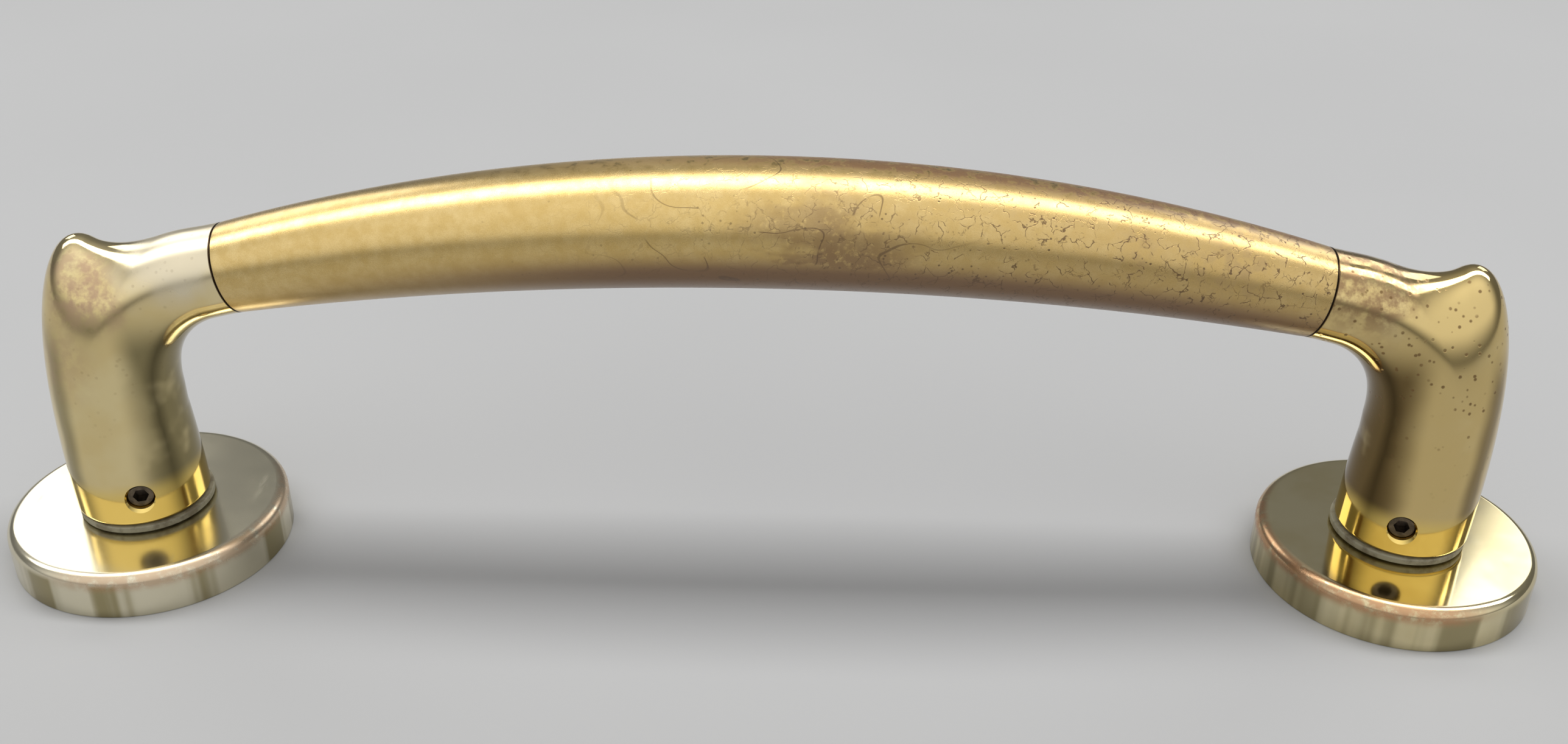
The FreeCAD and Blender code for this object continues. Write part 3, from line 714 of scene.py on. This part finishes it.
def rose_brass():
    """Polished brass of a rose cap: rubbed to a coppery tone along its inner shoulder, paler and
    rougher on the left, with darker bands round its wall."""
    f = Finish("rose_brass", Metallic=1.0)
    x, y, z = f.split()
    across = f.maths("SUBTRACT", f.maths("ABSOLUTE", x), POST_X * MM)
    reach = f.maths("SQRT", f.maths("MULTIPLY_ADD", across, across, f.maths("MULTIPLY", y, y)))
    haze = f.noise(60, 3, 0.6)
    mottle = f.noise(480, 4, 0.62)
    worn_side = f.rise(x, 0.01, -0.01)
    on_shoulder = f.product(f.rise(reach, 0.0236, 0.0250), f.rise(z, 0.0052, 0.0072))
    inwards = f.maths("MULTIPLY_ADD", y, -0.55, f.maths("MULTIPLY", across, -0.8))
    inner = f.rise(inwards, -0.004, 0.020)
    copper = f.product(on_shoulder, f.rise(inner, 0.1, 0.9), f.rise(mottle, 0.25, 0.55, 0.85),
                       f.maths("MULTIPLY_ADD", worn_side, -0.4, 1.0))
    wipe = f.noise(1100, 5, 0.7)
    scuffs = f.product(f.rise(f.noise(240, 5, 0.7, f.stretch((1.0, 0.25, 1.0))), 0.56, 0.66),
                       f.rise(f.noise(90, 1), 0.5, 0.6))

    # bands round the wall, from noise on the direction out of the rose's axis
    compass = f.node("ShaderNodeCombineXYZ", {"X": f.maths("DIVIDE", across, reach),
                                              "Y": f.maths("DIVIDE", y, reach),
                                              "Z": f.maths("SIGN", x)}).outputs["Vector"]
    bands = f.rise(f.noise(3.2, 3, 0.5, compass), 0.46, 0.58)
    wall = f.product(f.rise(z, 0.0078, 0.0066), bands)

    colour = f.blend(f.rise(haze, 0.35, 0.65), (0.74, 0.66, 0.42), (0.66, 0.57, 0.33))
    colour = f.blend(f.product(worn_side, 0.7), colour, (0.76, 0.72, 0.58))
    colour = f.blend(wall, colour, (0.36, 0.31, 0.17))
    colour = f.blend(copper, colour, (0.52, 0.285, 0.15))
    roughness = f.maths("MULTIPLY_ADD", f.rise(haze, 0.3, 0.7), 0.06, 0.07)
    roughness = f.maths("MULTIPLY_ADD", worn_side, 0.09, roughness)
    roughness = f.maths("ADD", f.most(f.product(copper, 0.22), f.product(scuffs, 0.06)), roughness)
    return f.finish(colour, roughness, (wipe, 0.08, 0.004), (f.noise(140, 2), 0.2, 0.010))


def metal(name, low, high, rough, scale=900, turning=False):
    """Plain machined or plated metal: two tones of mottle, and turning marks if asked for."""
    f = Finish(name, Metallic=1.0)
    mottle = f.noise(scale, 4, 0.6)
    if turning:
        marks = f.noise(scale * 4, 2, 0.5, f.stretch((0.15, 0.15, 1.0)))
    else:
        marks = f.noise(scale * 5, 2)
    colour = f.blend(f.rise(mottle, 0.3, 0.7), low, high)
    roughness = f.maths("MULTIPLY_ADD", mottle, 0.16, rough)
    return f.finish(colour, roughness, (marks, 0.25, 0.02), (mottle, 0.15, 0.02))


def collar_nylon():
    """Pale grey-green moulded nylon, grimy in patches."""
    f = Finish("collar_nylon", Specular_IOR_Level=0.3)
    grime = f.noise(300, 4, 0.65)
    colour = f.blend(f.rise(grime, 0.42, 0.68), (0.25, 0.235, 0.17), (0.14, 0.12, 0.08))
    roughness = f.maths("MULTIPLY_ADD", grime, 0.2, 0.42)
    return f.finish(colour, roughness, (f.noise(2500, 3), 0.2, 0.02))


def pale_floor():
    """Matt pale studio floor with a faint paper tooth."""
    f = Finish("pale_floor", Specular_IOR_Level=0.25)
    tooth = f.noise(900, 3, 0.6)
    shade = f.noise(6, 2)
    colour = f.blend(f.rise(shade, 0.3, 0.7), (0.34, 0.34, 0.34), (0.35, 0.35, 0.35))
    roughness = f.maths("MULTIPLY_ADD", tooth, 0.1, 0.75)
    return f.finish(colour, roughness, (tooth, 0.1, 0.1))


def paint(piece, material):
    """Give a piece this one material."""
    piece.data.materials.clear()
    piece.data.materials.append(material)


# ---------------------------------------------------------------- pieces

def build_pieces():
    """The shown grip, posts, rose caps and collars, which stand for their plainer CAD nodes."""
    grip = make_grip()
    paint(grip, satin_brass())
    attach(grip, "handle")
    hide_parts("grip_tube")
    post_finish = polished_brass()
    cap_finish = rose_brass()
    collar_finish = collar_nylon()
    cap_outline = [
        (CAP_HOLE, CAP_CEILING, 0.15), (CAP_HOLE, ROSE_HEIGHT, 0.2),
        (ROSE_RADIUS, ROSE_HEIGHT, ROSE_SHOULDER), (ROSE_RADIUS, 0, 0.3),
        (CAP_ROOM, 0, 0.2), (CAP_ROOM, GROOVE_LOW, 0), (GROOVE_RADIUS, GROOVE_LOW, 0),
        (GROOVE_RADIUS, GROOVE_HIGH, 0), (CAP_ROOM, GROOVE_HIGH, 0), (CAP_ROOM, CAP_CEILING, 1.0),
    ]
    collar_outline = [
        (COLLAR_BORE, SLEEVE_END, 0.1), (SLEEVE_RADIUS, SLEEVE_END, 0.1),
        (SLEEVE_RADIUS, COLLAR_LOW, 0.1), (COLLAR_RADIUS, COLLAR_LOW, 0.3),
        (COLLAR_RADIUS, FOOT_Z, 0.3), (COLLAR_BORE, FOOT_Z, 0.1),
    ]
    for side, sign in (("left", -1), ("right", 1)):
        post = make_post(f"post_{side}_polished", sign)
        paint(post, post_finish)
        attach(post, "handle")
        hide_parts(f"post_{side}")
        cap = lathe(f"rose_{side}_polished", sign * POST_X, cap_outline, segments=288, steps=14)
        paint(cap, cap_finish)
        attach(cap, f"rose_cap_{side}")
        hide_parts(f"rose_cap_{side}")
        collar = lathe(f"collar_{side}_moulded", sign * POST_X, collar_outline)
        paint(collar, collar_finish)
        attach(collar, "handle")
        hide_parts(f"collar_bush_{side}")


def paint_fittings():
    """Finishes of the CAD nodes that are shown as they are."""
    finishes = {
        "set_screw": metal("blackened_screw", (0.075, 0.062, 0.05), (0.16, 0.13, 0.10), 0.3),
        "spigot": metal("plated_spigot", (0.42, 0.41, 0.38), (0.55, 0.54, 0.50), 0.25, turning=True),
        "joining_stud": metal("plated_stud", (0.40, 0.39, 0.37), (0.52, 0.51, 0.48), 0.28, turning=True),
        "grip_end_plug": metal("turned_plug", (0.62, 0.45, 0.18), (0.74, 0.56, 0.26), 0.25, turning=True),
        "rose_base": metal("zinc_base", (0.36, 0.36, 0.36), (0.50, 0.50, 0.49), 0.38, scale=500),
        "cap_snap_ring": metal("spring_wire", (0.30, 0.29, 0.28), (0.42, 0.41, 0.39), 0.25),
        "spigot_clip": metal("spring_clip", (0.24, 0.23, 0.22), (0.36, 0.35, 0.33), 0.3),
    }
    for name, node in frame["nodes"].items():
        for kind, material in finishes.items():
            if name.startswith(kind):
                for slot in node.material_slots:
                    slot.material = material
                if not node.material_slots:
                    node.data.materials.append(material)


# ---------------------------------------------------------------- studio

def make_floor(half=30.0, level=0.05 * MM):
    """Wide floor, a hair above z = 0 so that the undersides of the roses don't lie in it."""
    mesh = bpy.data.meshes.new("studio_floor")
    corners = [(-half, -half, level), (half, -half, level), (half, half, level), (-half, half, level)]
    mesh.from_pydata(corners, [], [(0, 1, 2, 3)])
    floor = place_object("studio_floor", mesh)
    paint(floor, pale_floor())


def area_light(name, place, size, power, aim=(0, 0, 0.04)):
    """White rectangular light at a place in metres, turned to its aim."""
    light = bpy.data.lights.new(name, "AREA")
    light.shape = "RECTANGLE"
    light.size, light.size_y = size
    light.energy = power
    holder = place_object(name, light)
    holder.location = place
    holder.rotation_mode = "QUATERNION"
    holder.rotation_quaternion = (Vector(aim) - Vector(place)).to_track_quat("-Z", "Y")


def light_studio():
    """Soft room: dim near the horizon, paler overhead, in front and underneath, with three lights."""
    world = bpy.data.worlds.new("studio")
    bpy.context.scene.world = world
    world.use_nodes = True
    tree = world.node_tree
    nodes, links = tree.nodes, tree.links
    coordinates = nodes.new("ShaderNodeTexCoord")
    parts = nodes.new("ShaderNodeSeparateXYZ")
    links.new(coordinates.outputs["Generated"], parts.inputs["Vector"])
    depth, rise = parts.outputs["Y"], parts.outputs["Z"]

    # grey by height; the ramp is made with stops at its two ends
    greys = {0.0: 0.17, 0.20: 0.17, 0.45: 0.20, 0.62: 0.24, 1.0: 0.50}
    ramp = nodes.new("ShaderNodeValToRGB")
    stops = ramp.color_ramp.elements
    for place in list(greys)[1:-1]:
        stops.new(place)
    for stop, grey in zip(stops, greys.values()):
        stop.color = (grey, grey, grey, 1.0)
    links.new(rise, ramp.inputs["Fac"])

    # front glow times raised share, plus the glow from below
    front = smooth_step(tree, depth, 0.1, -0.55, 0.8)
    raised = smooth_step(tree, rise, -0.04, 0.26, 1.0)
    below = smooth_step(tree, rise, -0.02, -0.3, 0.6)
    lift = nodes.new("ShaderNodeMath")
    lift.operation = "MULTIPLY_ADD"
    for socket, source in zip(lift.inputs, (front, raised, below)):
        links.new(source, socket)
    glow = nodes.new("ShaderNodeMath")
    glow.operation = "ADD"
    links.new(lift.outputs["Value"], glow.inputs[0])
    links.new(ramp.outputs["Color"], glow.inputs[1])
    links.new(glow.outputs["Value"], nodes["Background"].inputs["Color"])

    area_light("overhead_soft", (0.0, 0.22, 1.45), (4.6, 0.5), 42)
    area_light("left_window", (-1.32, 1.38, 1.2), (0.8, 0.9), 5)
    area_light("right_window", (1.32, 1.38, 1.2), (0.8, 0.9), 5)


def place_camera():
    """Camera that looks down on the handle from the front, a little rolled."""
    yaw_cos, yaw_sin = math.cos(CAMERA_YAW), math.sin(CAMERA_YAW)
    level, down = math.cos(CAMERA_PITCH), math.sin(CAMERA_PITCH)
    ahead = Vector((-yaw_sin * level, yaw_cos * level, -down))
    right = Vector((yaw_cos, yaw_sin, 0))
    up = right.cross(ahead)
    rolled = right * math.cos(CAMERA_ROLL) + up * math.sin(CAMERA_ROLL)
    upright = rolled.cross(ahead)
    camera = place_object("camera", bpy.data.cameras.new("camera"))
    camera.data.sensor_width = CAMERA_SENSOR
    camera.data.lens = CAMERA_LENS
    camera.data.clip_start = CAMERA_NEAR
    turned = Matrix((rolled, upright, -ahead)).transposed().to_4x4()
    camera.matrix_world = Matrix.Translation(CAMERA_PLACE) @ turned
    bpy.context.scene.camera = camera


bpy.context.scene.view_settings.view_transform = "Standard"
place_camera()
make_floor()
light_studio()
build_pieces()
paint_fittings()
